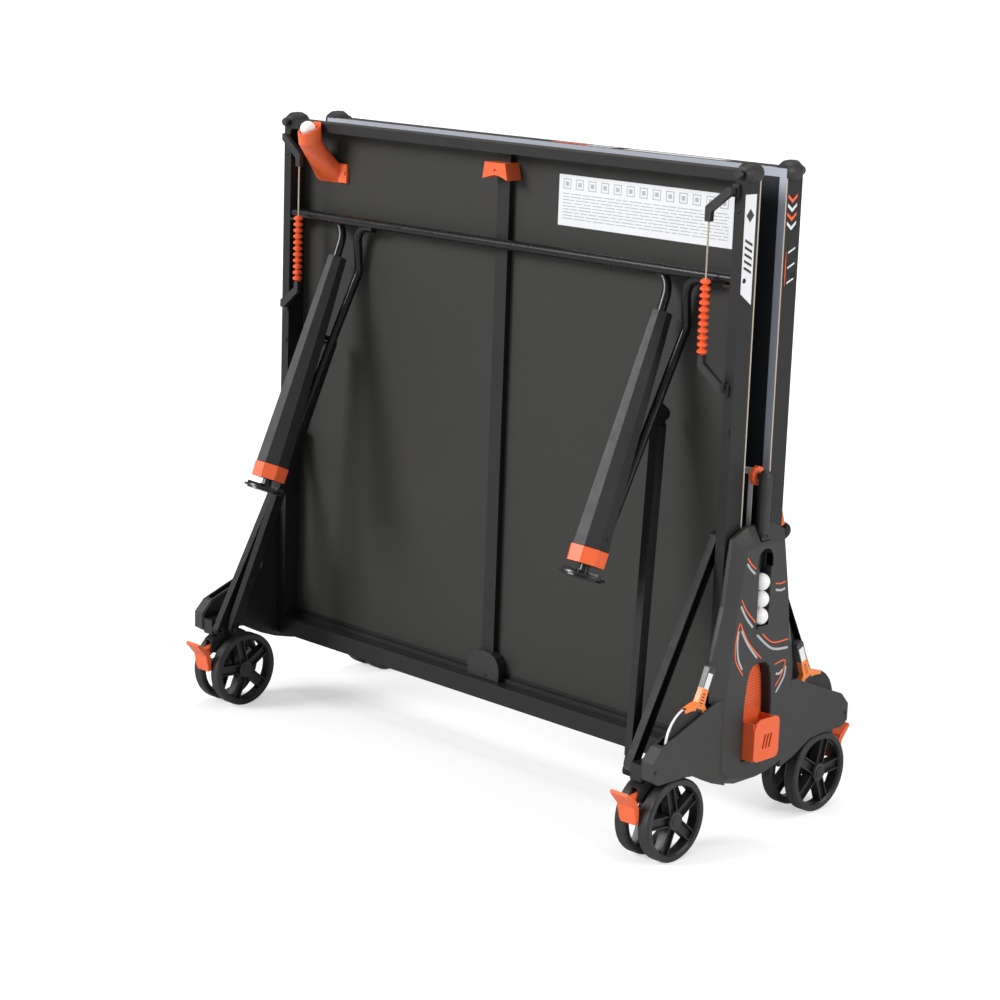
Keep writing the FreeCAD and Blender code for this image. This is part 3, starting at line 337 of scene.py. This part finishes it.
class Builder:
    """Gathers small solids into one mesh; all sizes in millimetres, in the row frame."""

    def __init__(self):
        self.bm = bmesh.new()

    def _add(self, verts, faces):
        made = [self.bm.verts.new(Vector(v) * MM) for v in verts]
        for face in faces:
            self.bm.faces.new([made[i] for i in face])

    def box(self, lo, hi):
        x0, y0, z0 = lo
        x1, y1, z1 = hi
        verts = [(x, y, z) for x in (x0, x1) for y in (y0, y1) for z in (z0, z1)]
        self._add(verts, [(0, 1, 3, 2), (4, 6, 7, 5), (0, 4, 5, 1), (2, 3, 7, 6), (0, 2, 6, 4), (1, 5, 7, 3)])

    def prism(self, ring, step):
        """A flat ring of points carried along step."""
        count = len(ring)
        verts = [Vector(p) for p in ring] + [Vector(p) + Vector(step) for p in ring]
        faces = [tuple(range(count))[::-1], tuple(range(count, 2 * count))]
        faces += [(i, (i + 1) % count, (i + 1) % count + count, i + count) for i in range(count)]
        self._add(verts, faces)

    def lathe(self, centre, axis, profile, segments=24):
        """A closed turned solid; profile is (radius, height along axis) from the axis out and back to it."""
        axis = Vector(axis).normalized()
        side = axis.orthogonal().normalized()
        other = axis.cross(side)
        centre = Vector(centre)
        verts = []
        rings = []
        for r, h in profile:
            if r < 1e-6:
                rings.append([len(verts)])
                verts.append(centre + axis * h)
                continue
            rings.append(list(range(len(verts), len(verts) + segments)))
            for k in range(segments):
                a = 2 * math.pi * k / segments
                verts.append(centre + axis * h + (side * math.cos(a) + other * math.sin(a)) * r)
        faces = []
        for one, two in zip(rings, rings[1:]):
            for k in range(segments):
                j = (k + 1) % segments
                if len(one) == 1:
                    faces.append((one[0], two[j], two[k]))
                elif len(two) == 1:
                    faces.append((one[k], one[j], two[0]))
                else:
                    faces.append((one[k], one[j], two[j], two[k]))
        self._add(verts, faces)

    def rod(self, start, end, radius, segments=20):
        start = Vector(start)
        run = Vector(end) - start
        length = run.length
        bevel = min(0.6, radius * 0.2)
        profile = [(0, 0), (radius - bevel, 0), (radius, bevel), (radius, length - bevel), (radius - bevel, length),
                   (0, length)]
        self.lathe(start, run, profile, segments)

    def screw(self, centre, axis, radius=5.0, height=2.4):
        """A domed head with a hexagon socket."""
        r = radius
        profile = [(0, height * 0.35), (r * 0.38, height * 0.35), (r * 0.42, height), (r * 0.7, height * 0.92),
                   (r * 0.95, height * 0.45), (r, 0.1), (r, -1.0), (0, -1.0)]
        self.lathe(centre, axis, profile, 18)

    def nut(self, centre, axis, radius=7.0, height=4.0):
        profile = [(0, height), (radius * 0.86, height), (radius, height * 0.8), (radius, -1.0), (0, -1.0)]
        self.lathe(centre, axis, profile, 6)

    def ribbon(self, path, width, thick, normal):
        """A flat strip that follows a path on a plane with that normal; it tapers to its ends."""
        normal = Vector(normal).normalized()
        pts = [Vector(p) for p in path]
        count = len(pts)
        verts = []
        for i, p in enumerate(pts):
            run = (pts[min(i + 1, count - 1)] - pts[max(i - 1, 0)]).normalized()
            side = normal.cross(run) * (width / 2)
            if i in (0, count - 1):
                side = side * 0.35
            verts += [p + side, p - side, p - side + normal * thick, p + side + normal * thick]
        faces = [(0, 3, 2, 1), tuple(4 * (count - 1) + k for k in (0, 1, 2, 3))]
        for i in range(count - 1):
            a = 4 * i
            for k in range(4):
                m = (k + 1) % 4
                faces.append((a + k, a + m, a + 4 + m, a + 4 + k))
        self._add(verts, faces)

    def done(self, name, material, body, bevel=0.0, smooth=True):
        bmesh.ops.recalc_face_normals(self.bm, faces=self.bm.faces)
        mesh = bpy.data.meshes.new(name)
        self.bm.to_mesh(mesh)
        self.bm.free()
        piece = bpy.data.objects.new(name, mesh)
        bpy.context.scene.collection.objects.link(piece)
        mesh.materials.append(material)
        if smooth:
            mesh.shade_smooth()
            mesh.set_sharp_from_angle(angle=CREASE)
        if bevel:
            mod = piece.modifiers.new("edge", "BEVEL")
            mod.width = bevel * MM
            mod.segments = 2
            mod.limit_method = "ANGLE"
        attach(piece, body)
        return piece


def curve_through(points, steps=10):
    """A smooth line through a few (u, v) points."""
    pts = [points[0]] + list(points) + [points[-1]]
    out = []
    for a, b, c, d in zip(pts, pts[1:], pts[2:], pts[3:]):
        for k in range(steps):
            t = k / steps
            out.append(tuple(0.5 * (2 * b[i] + (c[i] - a[i]) * t + (2 * a[i] - 5 * b[i] + 4 * c[i] - d[i]) * t * t
                                    + (3 * b[i] - a[i] - 3 * c[i] + d[i]) * t ** 3) for i in (0, 1)))
    out.append(tuple(points[-1]))
    return out


# ---- finishes of the CAD nodes ----
def paint(node, material):
    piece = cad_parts[node]
    piece.data.materials.clear()
    piece.data.materials.append(material)


def soften(node):
    """Smooth shading with crisp edges."""
    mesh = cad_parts[node].data
    mesh.shade_smooth()
    mesh.set_sharp_from_angle(angle=math.radians(30))


FINISH = {
    "top_frame": "rail", "guide_pins": "dark_bolt", "corner_caps": "cap", "bumper": "cap", "leg_frame": "tube",
    "leg_covers": "cover", "right_collar": "orange", "left_collar": "orange", "right_foot": "black",
    "left_foot": "black", "panel_struts": "strut", "leg_struts": "strut", "guide_shoes": "cap",
}
SINGLE = {
    "ball_holder": "orange", "holder_ball": "ball", "rail_hook": "orange", "counter_arms": "cap",
    "right_beads": "bead", "left_beads": "bead", "right_housing": "shell", "left_housing": "shell",
    "side_frames": "plate", "centre_beam": "plate", "stored_balls": "ball", "storage_cups": "perforated",
    "net_posts": "cap", "right_net_knob": "orange", "left_net_knob": "orange",
    "front_racket_blade": "rubber", "back_racket_blade": "rubber",
}
CORNERS = ("front_right", "front_left", "back_right", "back_left")


def finish_nodes():
    for half in ("front", "back"):
        paint(half + "_top_panel", panel_material(half + "_panel_sheet", half + "_top_panel"))
        for node, key in FINISH.items():
            paint(half + "_" + node, M[key])
            soften(half + "_" + node)
        out = -1 if half == "front" else 1
        tip = (out * TIP_Y / 1000, TIP_Z / 1000)
        paint(half + "_racket_handle", racket_handle_material(half + "_handle_finish", tip, out))
    for node, key in SINGLE.items():
        paint(node, M[key])
        soften(node)
    for corner in CORNERS:
        paint(corner + "_wheels", M["wheel"])
        paint(corner + "_fork", M["fork"])
        paint(corner + "_pedal", M["orange"])
        for node in ("_wheels", "_fork", "_pedal"):
            soften(corner + node)


# ---- detail pieces ----
def sides():
    return ((1, "right"), (-1, "left"))


def tower_graphics():
    """Thin curved stripes in two colours on both towers: plain ornament with no sign or letter."""
    lines = {
        "stripe": [[(-66, 672), (-52, 656), (-34, 642)], [(-80, 578), (-58, 547), (-25, 516)],
                   [(2, 485), (42, 458), (99, 456)], [(39, 597), (58, 594), (76, 596)],
                   [(-82, 524), (-92, 480), (-88, 436), (-60, 398)], [(-80, 524), (-46, 472), (4, 426)],
                   [(54, 403), (92, 406), (80, 372), (60, 350)]],
        "silver": [[(-67, 659), (-52, 643), (-36, 631)], [(-81, 564), (-60, 533), (-34, 506)],
                   [(-18, 486), (40, 444), (100, 436)], [(41, 582), (60, 578), (76, 580)],
                   [(-84, 506), (-86, 476), (-80, 440), (-64, 412)], [(-74, 506), (-48, 468), (-12, 430)],
                   [(60, 380), (74, 378), (84, 386)], [(96, 392), (90, 366), (64, 334)]],
    }
    width = {"stripe": 3.0, "silver": 5.5}
    for sign, side in sides():
        for key, paths in lines.items():
            b = Builder()
            for path in paths:
                b.ribbon([(sign * TOWER_X, sign * y, z) for y, z in curve_through(path)], width[key], sign * 0.5, X)
            b.done(f"{side}_tower_{key}", M[key], "chassis")


def tower_details():
    for sign, side in sides():
        b = Builder()
        b.screw((sign * 800, sign * -343, 228), (sign, 0, 0), 4.5, 1.6)
        b.screw((sign * 800, sign * 343, 228), (sign, 0, 0), 4.5, 1.6)
        b.screw((sign * 796, sign * -36, 158), (sign, 0, -0.5), 3.5, 1.2)
        b.done(f"{side}_housing_screws", M["dark_bolt"], "chassis")
        lip = Builder()
        lip.prism([(sign * TOWER_X, y, z) for y, z in ((-22, 505), (22, 505), (19, 499), (-19, 499))],
                  (sign * 5, 0, 0))
        lip.done(f"{side}_ball_lip", M["shell"], "chassis", bevel=1.2)


def recess_walls():
    """A near-black wall round each recess, painted darker than the housing as painted shade inside the recess; it
    narrows towards its head.
    """
    edge = [(0, 419), (22, 416), (34, 404), (42, 380), (49, 320), (50, 190)]
    loop = edge + [(-y, z) for y, z in edge[:0:-1]]
    middle = 305
    outer = [(y * 0.994, middle + (z - middle) * 0.997) for y, z in loop]
    inner = [(y * 0.945, middle + (z - middle) * 0.975) for y, z in loop]
    for sign, side in sides():
        b = Builder()
        for k in range(len(loop)):
            j = (k + 1) % len(loop)
            ring = [outer[k], outer[j], inner[j], inner[k]]
            b.prism([(sign * 777, y, z) for y, z in ring], (sign * 24, 0, 0))
        b.done(f"{side}_recess_wall", M["recess_shade"], "chassis", smooth=False)


# (radius, height) profiles in millimetres.
TREAD = [(91, 3.5), (95.6, 3.9), (97.2, 5.5), (97.2, 27.1), (95.6, 28.7), (91, 29.1), (91, 3.5)]
HUB = [(0, 1.6), (14, 1.6), (17.5, 0.9), (18.5, -1.8), (0, -1.8)]
WHEEL_STARTS = (696.9, 765.5)   # inner faces of a caster's two wheels
WHEEL_WIDE = 32.6


def caster_details():
    """Tread bands and hub discs on every wheel."""
    for corner in CORNERS:
        sx = 1 if "right" in corner else -1
        sy = 1 if "back" in corner else -1
        centre_y = sy * WHEEL_Y
        tread = Builder()
        hub = Builder()
        for start in WHEEL_STARTS:
            lo, hi = sorted((sx * start, sx * (start + WHEEL_WIDE)))
            tread.lathe((lo, centre_y, WHEEL_Z), X, TREAD, 96)
            for face, out in ((lo, -1), (hi, 1)):
                hub.lathe((face, centre_y, WHEEL_Z), (out, 0, 0), HUB, 40)
        tread.done(corner + "_treads", M["tread"], corner + "_wheel")
        hub.done(corner + "_hub_discs", M["hub"], corner + "_wheel")


def turned(point, half):
    """A front-half point, carried to the back half by half a turn."""
    x, y, z = point
    return (x, y, z) if half == "front" else (-x, -y, z)


def half_details(half):
    """Screw heads and small plates on a half-top's frame."""
    body = half + "_half"
    b = Builder()
    out = turned((0, -1, 0), half)
    for sx in (1, -1):
        b.screw(turned((sx * 749.5, FRAME_BACK, 955), half), out, 5.0, 2.0)
        b.screw(turned((sx * 749.5, FRAME_BACK, 182), half), out, 5.0, 2.0)
        b.screw(turned((sx * 749.5, FRAME_BACK, 1440), half), out, 4.0, 1.6)
        b.screw(turned((sx * 695, -95.5, 182), half), out, 4.0, 1.6)
        side = turned((sx, 0, 0), half)
        for y, z in ((-76, 699), (-86, 1290), (-76, 420)):
            b.screw(turned((sx * RAIL_X, y, z), half), side, 6.0, 2.2)
    b.screw(turned((10, -80.0, 215), half), out, 3.5, 1.2)
    b.screw(turned((-10, -66.0, 283), half), out, 2.5, 0.8)
    b.done(half + "_frame_screws", M["dark_bolt"], body)
    pads = Builder()
    for sx in (1, -1):
        for corners in (((741, FRAME_BACK, 948), (758, -103.2, 963)),
                        ((716, FRAME_BACK, 1272), (736.5, -72, 1278))):
            axes = list(zip(*(turned((sx * x, y, z), half) for x, y, z in corners)))
            pads.box([min(pair) for pair in axes], [max(pair) for pair in axes])
    pads.done(half + "_frame_plates", M["rail"], body, bevel=0.6)


# Bars (x0, z0, x1, z1) of one square of the sheet, x from the square's left edge.
BLANK_SQUARE = ((0, 1436, 24, 1438), (0, 1458, 24, 1460), (0, 1438, 2, 1458), (22, 1438, 24, 1458),
                (7, 1443, 17, 1453))


def label():
    """A plain instruction sheet under the front half: blank squares above rows of grey bars, no letters."""
    y = -51.0
    sheet = Builder()
    sheet.box((168, y - 0.5, 1350), (698, y, 1469))
    sheet.done("care_label", M["label"], "front_half")
    ink = Builder()
    rng = random.Random(3)
    for k in range(13):
        x = 182 + k * 39.5
        for x0, z0, x1, z1 in BLANK_SQUARE:
            ink.box((x + x0, y - 0.8, z0), (x + x1, y - 0.5, z1))
    for row in range(9):
        z = 1424 - row * 7.2
        x = 182
        while x < 680:
            run = rng.uniform(14, 44)
            end = min(x + run, 684)
            ink.box((x, y - 0.8, z), (end, y - 0.5, z + 2.0))
            x = end + 5
    ink.done("care_label_marks", M["ink"], "front_half")


def rail_graphics():
    """A pale slanted plate on the front half's right rail and two chevrons on the back half's."""
    x = RAIL_X
    face = x + 0.6
    b = Builder()
    b.prism([(x, -96, 1478), (x, -58, 1478), (x, -58, 1235), (x, -96, 1262)], (0.6, 0, 0))
    b.done("front_rail_plate", M["label"], "front_half")
    ink = Builder()
    for k in range(5):
        z = 1312 + k * 15
        ink.prism([(face, -90, z + 4), (face, -64, z - 8), (face, -64, z - 2), (face, -90, z + 10)], (0.3, 0, 0))
    ink.prism([(face, -90, 1432), (face, -77, 1447), (face, -64, 1432), (face, -77, 1417)], (0.3, 0, 0))
    ink.done("front_rail_marks", M["dark_ink"], "front_half")
    pale = Builder()
    bright = Builder()
    for k in range(4):
        z = 1392 + k * 20
        target = bright if k % 2 else pale
        for s in (1, -1):
            ring = [(x, 69, z), (x, 69 + s * 16, z + 13), (x, 69 + s * 16, z + 20), (x, 69, z + 8)]
            target.prism(ring if s > 0 else ring[::-1], (0.5, 0, 0))
    for k in range(3):
        z = 1272 + k * 34
        pale.prism([(x, 64, z), (x, 88, z + 10), (x, 88, z + 14), (x, 64, z + 4)], (0.5, 0, 0))
    bright.ribbon([(x, 57, 1268), (x, 57, 1300), (x, 57, 1345)], 3, 0.5, X)
    pale.done("back_rail_marks_pale", M["label"], "back_half")
    bright.done("back_rail_marks_bright", M["stripe"], "back_half")


def top_edge_graphics():
    """Short bars along the top edge of the back half's rail."""
    z = 1529.0
    bright = Builder()
    pale = Builder()
    for k in range(9):
        x = 30 + 22 * k
        target = bright if k < 5 else pale
        target.prism([(x, 60, z), (x + 12, 60, z), (x + 20, 88, z), (x + 8, 88, z)], (0, 0, 0.4))
    pale.prism([(260, 64, z), (560, 64, z), (572, 84, z), (272, 84, z)], (0, 0, 0.4))
    bright.done("back_top_marks_bright", M["stripe"], "back_half")
    pale.done("back_top_marks_pale", M["label"], "back_half")


def net_cloth():
    """The net: a stretched mesh with a slight ripple, hemmed with pale tape along its top."""
    lo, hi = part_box("net")
    width = hi.x - lo.x
    height = hi.z - lo.z
    cols, rows = 150, 16
    verts = []
    for r in range(rows + 1):
        for c in range(cols + 1):
            u, v = c / cols, r / rows
            slack = math.sin(math.pi * u) * (1 - v * 0.8)
            ripple = 0.0008 * slack * math.sin(u * 61 + 2.1 * v) + 0.0005 * slack * math.sin(u * 143)
            verts.append((lo.x + width * u, ripple, lo.z + height * v))
    row = cols + 1
    faces = [(r * row + c, r * row + c + 1, (r + 1) * row + c + 1, (r + 1) * row + c)
             for r in range(rows) for c in range(cols)]
    mesh = bpy.data.meshes.new("net_cloth")
    mesh.from_pydata(verts, [], faces)
    mesh.shade_smooth()
    cloth = bpy.data.objects.new("net_cloth", mesh)
    bpy.context.scene.collection.objects.link(cloth)
    mesh.materials.append(M["net"])
    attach(cloth, "net_set")
    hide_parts("net")
    tape = Builder()
    x0, x1 = lo.x / MM, hi.x / MM
    z1 = hi.z / MM
    tape.box((x0, -1.2, z1 - 15), (x1, 1.2, z1))
    for x in (x0, x1 - 12):
        tape.box((x, -1.1, lo.z / MM), (x + 12, 1.1, z1 - 15))
    hem = tape.done("net_tape", M["tape"], "net_set")
    cord = Builder()
    for sign in (1, -1):
        cord.rod((sign * 751, 0, z1 - 8), (sign * 758, 0, 850), 1.6, 10)
        cord.rod((sign * 751, 0, lo.z / MM + 10), (sign * 772, 0, lo.z / MM + 16), 1.4, 10)
    cord.done("net_ties", M["black"], "net_set")


def racket_rims():
    """The pale edge of each blade."""
    sin, cos = math.sin(RACKET_LEAN), math.cos(RACKET_LEAN)
    for half, sign in (("front", -1), ("back", 1)):
        b = Builder()
        centre = []
        for k in range(57):
            a = math.radians(-140 + 280 * k / 56)
            s = 172 + 77.6 * math.cos(a)
            n = 72.6 * math.sin(a)
            y = TIP_Y + s * sin + n * cos
            z = TIP_Z - s * cos + n * sin
            centre.append((784.0, sign * y, z))
        b.ribbon(centre, 2.4, 6.0, X)
        b.done(half + "_blade_rim", M["rim"], half + "_racket")


LEG_TILT = math.radians(21.9)
LEG_BACK = 20.4         # from the line through the leg's pivot to the cover's middle
COVER_START = 94        # down the leg from its pivot
COVER_LONG = 554
COVER_HALF = 23         # at its head; it grows by COVER_GROWS to its foot
COVER_GROWS = 18


def along_leg(s):
    """The point (y, z) in the middle of a cover, s down the folded leg from its pivot."""
    y = -86 - s * math.sin(LEG_TILT) + LEG_BACK * math.cos(LEG_TILT)
    z = 1290 - s * math.cos(LEG_TILT) - LEG_BACK * math.sin(LEG_TILT)
    return (y, z)


def leg_details(half):
    """Screws on both sides of each cover and a ferrule at its head."""
    body = half + "_legs"
    b = Builder()
    for sx in (1, -1):
        x = sx * LEG_X
        for s in (150.0, 620.0):
            y, z = along_leg(s)
            for side in (1, -1):
                reach = COVER_HALF + COVER_GROWS * (s - COVER_START) / COVER_LONG
                place = turned((x + side * (reach - 0.4), y, z), half)
                b.screw(place, turned((side, 0, 0), half), 4.0, 1.4)
    b.done(half + "_cover_screws", M["dark_bolt"], body)
    ring = Builder()
    for sx in (1, -1):
        x = sx * LEG_X
        axis = Vector(turned((0, -math.sin(LEG_TILT), -math.cos(LEG_TILT)), half))
        y, z = along_leg(100)
        profile = [(11.6, -6), (16, -6), (17, -4), (17, 2), (11.6, 2), (11.6, -6)]
        ring.lathe(turned((x, y, z), half), axis, profile, 32)
    ring.done(half + "_cover_ferrules", M["cover"], body)


def strut_foot(node, reach):
    """Where a folded strut's lower pivot lies (y, z), reach being its end's radius."""
    low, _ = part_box(node)
    return (low.y / MM + reach, low.z / MM + reach)


def hinge_bolts():
    """Nuts and heads at the pivots of the struts."""
    for half in ("front", "back"):
        b = Builder()
        for sx in (1, -1):
            side = turned((-sx, 0, 0), half)
            b.screw(turned((sx * 703, -76, 699), half), side, 8.5, 2.5)
        b.done(half + "_strut_bolts", M["dark_bolt"], half + "_half")
        feet = Builder()
        for sx in (1, -1):
            side = turned((-sx, 0, 0), half)
            feet.nut(turned((sx * 710, *strut_foot("front_panel_struts", 18)), half), side, 7.5, 4.0)
        feet.done(half + "_strut_feet", M["dark_bolt"], half + "_braces")
        eyes = Builder()
        for sx in (1, -1):
            side = turned((-sx, 0, 0), half)
            eyes.nut(turned((sx * 688.5, *strut_foot("front_leg_struts", 13)), half), side, 7.5, 4.0)
        eyes.done(half + "_leg_strut_feet", M["dark_bolt"], half + "_leg_braces")


def counter_wires():
    """The bare wire of each score counter."""
    for sign, side in sides():
        b = Builder()
        b.rod((sign * 682.5, -119, 1117), (sign * 682.5, -119, 1415), 2.25, 16)
        b.done(f"{side}_counter_wire", M["wire"], "front_half")


AMBIENT = 0.35          # sky light on the table; to the camera the same sky is white
FLOOR_HALF = 400.0      # metres, so that low views see no edge


def studio():
    scene = bpy.context.scene
    mesh = bpy.data.meshes.new("floor")
    corners = [(x * FLOOR_HALF, y * FLOOR_HALF, 0) for x, y in ((-1, -1), (1, -1), (1, 1), (-1, 1))]
    mesh.from_pydata(corners, [], [(0, 1, 2, 3)])
    floor = bpy.data.objects.new("floor", mesh)
    mesh.materials.append(M["floor"])
    scene.collection.objects.link(floor)
    world = bpy.data.worlds.new("studio")
    world.use_nodes = True
    tree = world.node_tree
    background = tree.nodes["Background"]
    background.inputs["Color"].default_value = (1.0, 1.0, 1.0, 1.0)
    seen = tree.nodes.new("ShaderNodeMath")
    seen.operation = "MAXIMUM"
    seen.inputs[1].default_value = AMBIENT
    tree.links.new(tree.nodes.new("ShaderNodeLightPath").outputs["Is Camera Ray"], seen.inputs[0])
    tree.links.new(seen.outputs[0], background.inputs["Strength"])
    scene.world = world
    for name, kind, place, size, power in (
            ("key", "SUN", (-3.2, -5.6, 4.0), 0.45, 3.1),
            ("top", "SUN", (0.4, 1.0, 5.0), 0.9, 1.3),
            ("side", "AREA", (6.5, 0.8, 2.6), 2.4, 190.0)):
        lamp = bpy.data.lights.new(name, kind)
        if kind == "SUN":
            lamp.angle = size
        else:
            lamp.size = size
        lamp.energy = power
        lit = bpy.data.objects.new(name, lamp)
        lit.location = place
        lit.rotation_euler = (Vector((0, 0, 0.7)) - Vector(place)).to_track_quat("-Z", "Y").to_euler()
        scene.collection.objects.link(lit)
    scene.view_settings.view_transform = "Standard"


# The camera as solved from the half-top's edges in the photo.
CAMERA_TURN = (44.28, 12.75, -2.04)     # yaw, pitch and roll in degrees
CAMERA_PLACE = (4.12909, -4.27465, 1.99204)
CAMERA_LENS = 88.74                     # millimetres, for a 36 mm sensor


def camera():
    yaw, pitch, roll = (math.radians(a) for a in CAMERA_TURN)
    forward = Vector((-math.sin(yaw) * math.cos(pitch), math.cos(yaw) * math.cos(pitch), -math.sin(pitch)))
    right = Vector((math.cos(yaw), math.sin(yaw), 0))
    down = forward.cross(right)
    side = right * math.cos(roll) + down * math.sin(roll)
    below = down * math.cos(roll) - right * math.sin(roll)
    data = bpy.data.cameras.new("camera")
    data.lens = CAMERA_LENS
    data.sensor_width = 36.0
    data.clip_end = 1200.0
    eye = bpy.data.objects.new("camera", data)
    turn = Matrix((side, -below, -forward)).transposed()
    eye.matrix_world = Matrix.Translation(CAMERA_PLACE) @ turn.to_4x4()
    bpy.context.scene.collection.objects.link(eye)
    bpy.context.scene.camera = eye


finish_nodes()
tower_graphics()
tower_details()
recess_walls()
caster_details()
for half_name in ("front", "back"):
    half_details(half_name)
    leg_details(half_name)
hinge_bolts()
counter_wires()
label()
rail_graphics()
top_edge_graphics()
net_cloth()
racket_rims()
studio()
camera()
